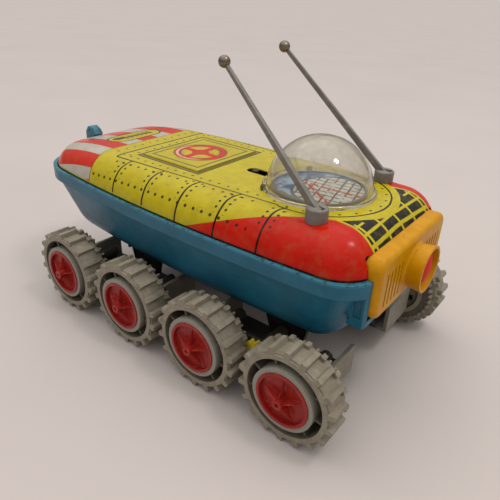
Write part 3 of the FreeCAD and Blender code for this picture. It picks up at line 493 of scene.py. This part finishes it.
def dome_clear():
    """Clear styrene gone slightly yellow, with dust and specks; lamps shine through it."""
    p = Paint("dome_clear", (247, 245, 238), 0.04, Transmission_Weight=1.0, IOR=1.46)
    dust = p.noise(3.0, 5.0).above(0.56, 0.2)
    specks = p.noise(0.9, 2.0, shift=4.0).above(0.74, 0.02)
    p.over((206, 196, 160), specks, 0.8)
    p.set("Roughness", 0.02 + dust * 0.05)
    p.bump(p.noise(12.0, 2.0), 0.15, 0.4)
    p.done()
    tree = p.tree
    path = tree.nodes.new("ShaderNodeLightPath")
    clear = tree.nodes.new("ShaderNodeBsdfTransparent")
    clear.inputs[0].default_value = (0.93, 0.925, 0.9, 1.0)
    haze = tree.nodes.new("ShaderNodeBsdfDiffuse")
    haze.inputs[0].default_value = linear((170, 163, 148))
    veil = tree.nodes.new("ShaderNodeMixShader")
    tree.links.new((0.1 + dust * 0.12 + specks * 0.5).socket, veil.inputs[0])
    tree.links.new(p.shader.outputs[0], veil.inputs[1])
    tree.links.new(haze.outputs[0], veil.inputs[2])
    mix = tree.nodes.new("ShaderNodeMixShader")
    tree.links.new(path.outputs["Is Shadow Ray"], mix.inputs[0])
    tree.links.new(veil.outputs[0], mix.inputs[1])
    tree.links.new(clear.outputs[0], mix.inputs[2])
    tree.links.new(mix.outputs[0], tree.nodes["Material Output"].inputs[0])
    return p.material


def lens_red():
    """Translucent red moulding with a painted glow that makes it brighter towards its middle, and faint rings
    from the tool.
    """
    p = moulded("lens_red", (190, 18, 4), (160, 10, 2), (204, 34, 14), 0.5, 6.0, edge=0.2, grime=0.1,
                Specular_IOR_Level=0.12)
    middle = centre_of("nose_lens")
    r = ((p.y - middle.y).square() + (p.z - middle.z).square()).root()
    # painted glow: a lighter, more orange red towards the middle of the lens
    p.over((206, 40, 18), r.below(5.0, 5.0), 0.6)
    p.bump(r.off_grid(0.0, 1.4), 0.02, 0.3)
    return p.done()


def wheel_grey():
    p = moulded("wheel_grey", (136, 128, 112), (114, 106, 90), (158, 150, 134), 0.5, 9.0, edge=0.35,
                grime=0.3, Specular_IOR_Level=0.4)
    p.over((96, 84, 64), p.noise(3.2, 5.0, shift=10.0).above(0.58, 0.12), 0.35)
    r = (p.x.off_grid(AXLE_X, WHEEL_PITCH).square() + (p.z - AXLE_Z).square()).root()
    # painted shade: the recess of the open ring, between the ring and the drum, is darkened
    hollow_shade = r.between(RING_OUTER_R, DRUM_INNER_R, 0.4) & abs(p.y).below(WHEEL_FACE_Y - 1.4, 1.0)
    p.over((54, 48, 40), hollow_shade, 0.75)
    ring = r.between(RING_OUTER_R - RING_WIDTH, RING_OUTER_R, 0.3)
    ring = ring & abs(p.y).above(WHEEL_FACE_Y - 7.0, 0.5)
    p.over((138, 136, 127), ring, 0.8)
    return p.done()


def hub_red():
    p = moulded("hub_red", (150, 30, 24), (120, 18, 14), (168, 52, 42), 0.32, 7.0, edge=0.3, grime=0.2,
                Specular_IOR_Level=0.28, Subsurface_Weight=0.1, Subsurface_Scale=0.003,
                Subsurface_Radius=(1.0, 0.3, 0.2))
    p.over((184, 124, 110), p.noise(2.0, 4.0, shift=11.0).above(0.62, 0.06), 0.2)
    return p.done()


def chassis_grey():
    """Bogie trays: grey end plates, with painted shade darkening the middle and inside."""
    p = moulded("chassis_grey", (122, 116, 102), (98, 92, 80), (144, 138, 124), 0.5, 10.0, edge=0.3)
    middle = PITCH_X - p.x.off_grid(ROVER_MIDDLE_X, 2 * PITCH_X)
    # painted shade: near black in the middle of each tray and inside it, where the shadow under the hull
    # falls
    shaded_inside = abs(middle).below(27.0, 2.0) & (p.z.above(15.5, 2.0) | abs(p.y).below(41.0, 1.0))
    p.over((34, 30, 26), shaded_inside, 0.9)
    return p.done()


def simple_plastics():
    return {
        "chassis_grey": chassis_grey(),
        "bracket_black": moulded("bracket_black", (28, 26, 25), (16, 15, 15), (54, 50, 47), 0.42, 10.0,
                                 edge=0.3).done(),
        "gear_yellow": moulded("gear_yellow", (206, 186, 44), (176, 150, 28), (224, 210, 90), 0.4,
                               6.0).done(),
        "antenna_grey": moulded("antenna_grey", (112, 107, 100), (88, 84, 78), (142, 137, 128), 0.45, 8.0,
                                edge=0.35, grime=0.2).done(),
    }


# ---- metals -------------------------------------------------------------------------------
def metal(name, rgb, stain, roughness, brush=(1.0, 1.0, 1.0)):
    """Stained metal with a fine grain; the grain is shortest along the axis where `brush` is largest."""
    p = Paint(name, rgb, roughness, Metallic=1.0)
    p.over(stain, p.noise(5.0, 5.0).above(0.52, 0.25), 0.6)
    fine = p.noise(0.7, 4.0, stretch=brush, shift=3.0)
    p.set("Roughness", roughness - 0.08 + fine * 0.22)
    p.bump(fine, 0.015)
    return p.done()


def build_materials():
    finishes = {
        "tin_litho": tin_litho(), "dial_print": dial_print(), "dome_clear": dome_clear(),
        "hull_blue": hull_blue(), "nose_yellow": nose_yellow(), "lens_red": lens_red(),
        "wheel_grey": wheel_grey(), "hub_red": hub_red(),
        "tab_tin": metal("tab_tin", (96, 84, 62), (60, 46, 30), 0.4),
        "bright_ball": metal("bright_ball", (128, 116, 106), (84, 70, 60), 0.28),
        "steel": metal("steel", (170, 168, 162), (112, 106, 98), 0.32, (1.0, 8.0, 1.0)),
        "spring_steel": metal("spring_steel", (84, 90, 104), (56, 58, 66), 0.3, (8.0, 1.0, 1.0)),
        "brass": metal("brass", (196, 158, 84), (132, 98, 48), 0.32, (1.0, 6.0, 1.0)),
    }
    finishes.update(simple_plastics())
    return finishes


FINISHES = build_materials()
for node in NODES.values():
    for entry in node.material_slots:
        entry.material = FINISHES[entry.material.name.split(".")[0]]


# ---- pieces made here ---------------------------------------------------------------------
TAB_ANGLES = (132.0, 228.0)
TAB_HALF_WIDTH = 1.4
TAB_RISE = 1.6                  # height of the bend, just over the flange
TAB_ROUNDING = 0.5              # how far the corners of the tip draw back
TAB_STEPS = 6
TAB_EDGE = 0.12


def mesh_piece(name, shape, material, body):
    mesh = bpy.data.meshes.new(name)
    bmesh.ops.recalc_face_normals(shape, faces=shape.faces)
    shape.to_mesh(mesh)
    shape.free()
    mesh.materials.append(material)
    piece = bpy.data.objects.new(name, mesh)
    bpy.context.scene.collection.objects.link(piece)
    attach(piece, body)
    return piece


def dome_tabs():
    """Two short tabs cut from the deck and bent over the dome's flange, with rounded ends."""
    low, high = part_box("dome")
    flange_r = (high.x - low.x) / 2 / MM
    foot, top = low.z / MM, low.z / MM + TAB_RISE
    # distance from the dome's axis and height: up the outside, over to the tip, and back inside
    section = [(flange_r + 0.9, foot - 0.1), (flange_r + 0.9, top - 0.2), (flange_r + 0.6, top + 0.35),
               (flange_r - 0.2, top + 0.55), (flange_r - 1.3, top + 0.4), (flange_r - 1.3, top + 0.05),
               (flange_r - 0.2, top + 0.15), (flange_r + 0.3, top - 0.1), (flange_r + 0.4, foot - 0.1)]
    tip = (4, 5)
    shape = bmesh.new()
    for angle in TAB_ANGLES:
        out = Vector((math.cos(math.radians(angle)), math.sin(math.radians(angle)), 0.0))
        across = Vector((-out.y, out.x, 0.0))
        rows = []
        for step in range(TAB_STEPS + 1):
            sideways = step / (TAB_STEPS / 2) - 1
            taper = TAB_ROUNDING * abs(sideways) ** 3
            row = []
            for i, (r, z) in enumerate(section):
                reach = r + taper if i in tip else r
                place = Vector((DOME_X, 0.0, z)) + out * reach + across * (sideways * TAB_HALF_WIDTH)
                row.append(shape.verts.new(place * MM))
            rows.append(row)
        for near_row, far_row in zip(rows, rows[1:]):
            for i in range(len(section)):
                k = (i + 1) % len(section)
                shape.faces.new((near_row[i], near_row[k], far_row[k], far_row[i]))
        shape.faces.new(rows[0])
        shape.faces.new(list(reversed(rows[-1])))
    piece = mesh_piece("dome_tabs", shape, FINISHES["tab_tin"], "chassis")
    bevel = piece.modifiers.new("edges", "BEVEL")
    bevel.width, bevel.segments, bevel.limit_method = TAB_EDGE * MM, 2, "ANGLE"


dome_tabs()


# ---- floor, light and camera --------------------------------------------------------------
FLOOR_HALF = 60.0                       # metres
CAMERA_PLACE = (0.1572, -0.1816, 0.16206)
CAMERA_TURN = (61.877, -2.180, 38.322)  # degrees
CAMERA_LENS = 35.29
CAMERA_NEAR = 0.005
SUN_POWER, SUN_SPREAD = 0.7, 70.0       # the spread is in degrees
SUN_SIDE = (-0.3, 0.1, 1.0)             # towards the sun
LAMP_PLACE, LAMP_AIM, LAMP_SIZE, LAMP_POWER = (0.42, 0.12, 0.9), (0.0, 0.0, 0.06), 0.16, 1.6
WARM_WHITE, LAMP_WHITE, SKY_WHITE = (1.0, 0.97, 0.94), (1.0, 0.97, 0.92), (1.0, 0.975, 0.95, 1.0)
WALL_TOP, CEILING = 0.1, 0.8            # heights in the sky, as the sine of the elevation
WALL_LIGHT, CEILING_LIGHT = 0.22, 1.0
BACKDROP_LIGHT = 0.56                   # what the camera sees past the floor's edge


def build_floor():
    mesh = bpy.data.meshes.new("floor")
    shape = bmesh.new()
    bmesh.ops.create_grid(shape, x_segments=2, y_segments=2, size=FLOOR_HALF)
    shape.to_mesh(mesh)
    shape.free()
    floor = bpy.data.objects.new("floor", mesh)
    bpy.context.scene.collection.objects.link(floor)
    p = Paint("floor_paper", (190, 182, 178), 0.9, Specular_IOR_Level=0.1)
    p.over((180, 171, 167), p.noise(160.0, 3.0).above(0.5, 0.5), 0.5)
    mesh.materials.append(p.done())


def area_light(name, place, target, size, power, colour):
    data = bpy.data.lights.new(name, "AREA")
    data.shape, data.size, data.energy, data.color = "DISK", size, power, colour
    light = bpy.data.objects.new(name, data)
    light.location = place
    light.rotation_euler = (Vector(target) - Vector(place)).to_track_quat("-Z", "Y").to_euler()
    bpy.context.scene.collection.objects.link(light)


def build_lights():
    """A bright ceiling that fades towards the walls, a broad soft sun and one small lamp for highlights."""
    sky = bpy.data.lights.new("sky_panel", "SUN")
    sky.energy, sky.angle, sky.color = SUN_POWER, math.radians(SUN_SPREAD), WARM_WHITE
    panel = bpy.data.objects.new("sky_panel", sky)
    panel.rotation_euler = Vector(SUN_SIDE).to_track_quat("Z", "Y").to_euler()
    bpy.context.scene.collection.objects.link(panel)
    area_light("lamp", LAMP_PLACE, LAMP_AIM, LAMP_SIZE, LAMP_POWER, LAMP_WHITE)
    world = bpy.data.worlds.new("studio")
    world.use_nodes = True
    tree = world.node_tree
    direction = tree.nodes.new("ShaderNodeTexCoord").outputs["Generated"]
    split = tree.nodes.new("ShaderNodeSeparateXYZ")
    tree.links.new(direction, split.inputs[0])
    height = (Field(tree, split.outputs[2]) - WALL_TOP) / (CEILING - WALL_TOP)
    height = height.math("ADD", 0.0, clamp=True)
    background = tree.nodes["Background"]
    background.inputs[0].default_value = SKY_WHITE
    strength = height * CEILING_LIGHT + WALL_LIGHT
    seen = Field(tree, tree.nodes.new("ShaderNodeLightPath").outputs["Is Camera Ray"])
    strength = strength * ~seen + seen * BACKDROP_LIGHT
    tree.links.new(strength.socket, background.inputs[1])
    bpy.context.scene.world = world


def build_camera():
    data = bpy.data.cameras.new("camera")
    data.lens = CAMERA_LENS
    data.clip_start = CAMERA_NEAR
    camera = bpy.data.objects.new("camera", data)
    camera.location = CAMERA_PLACE
    camera.rotation_euler = [math.radians(a) for a in CAMERA_TURN]
    bpy.context.scene.collection.objects.link(camera)
    bpy.context.scene.camera = camera


build_floor()
build_lights()
build_camera()
bpy.context.scene.view_settings.view_transform = "Standard"
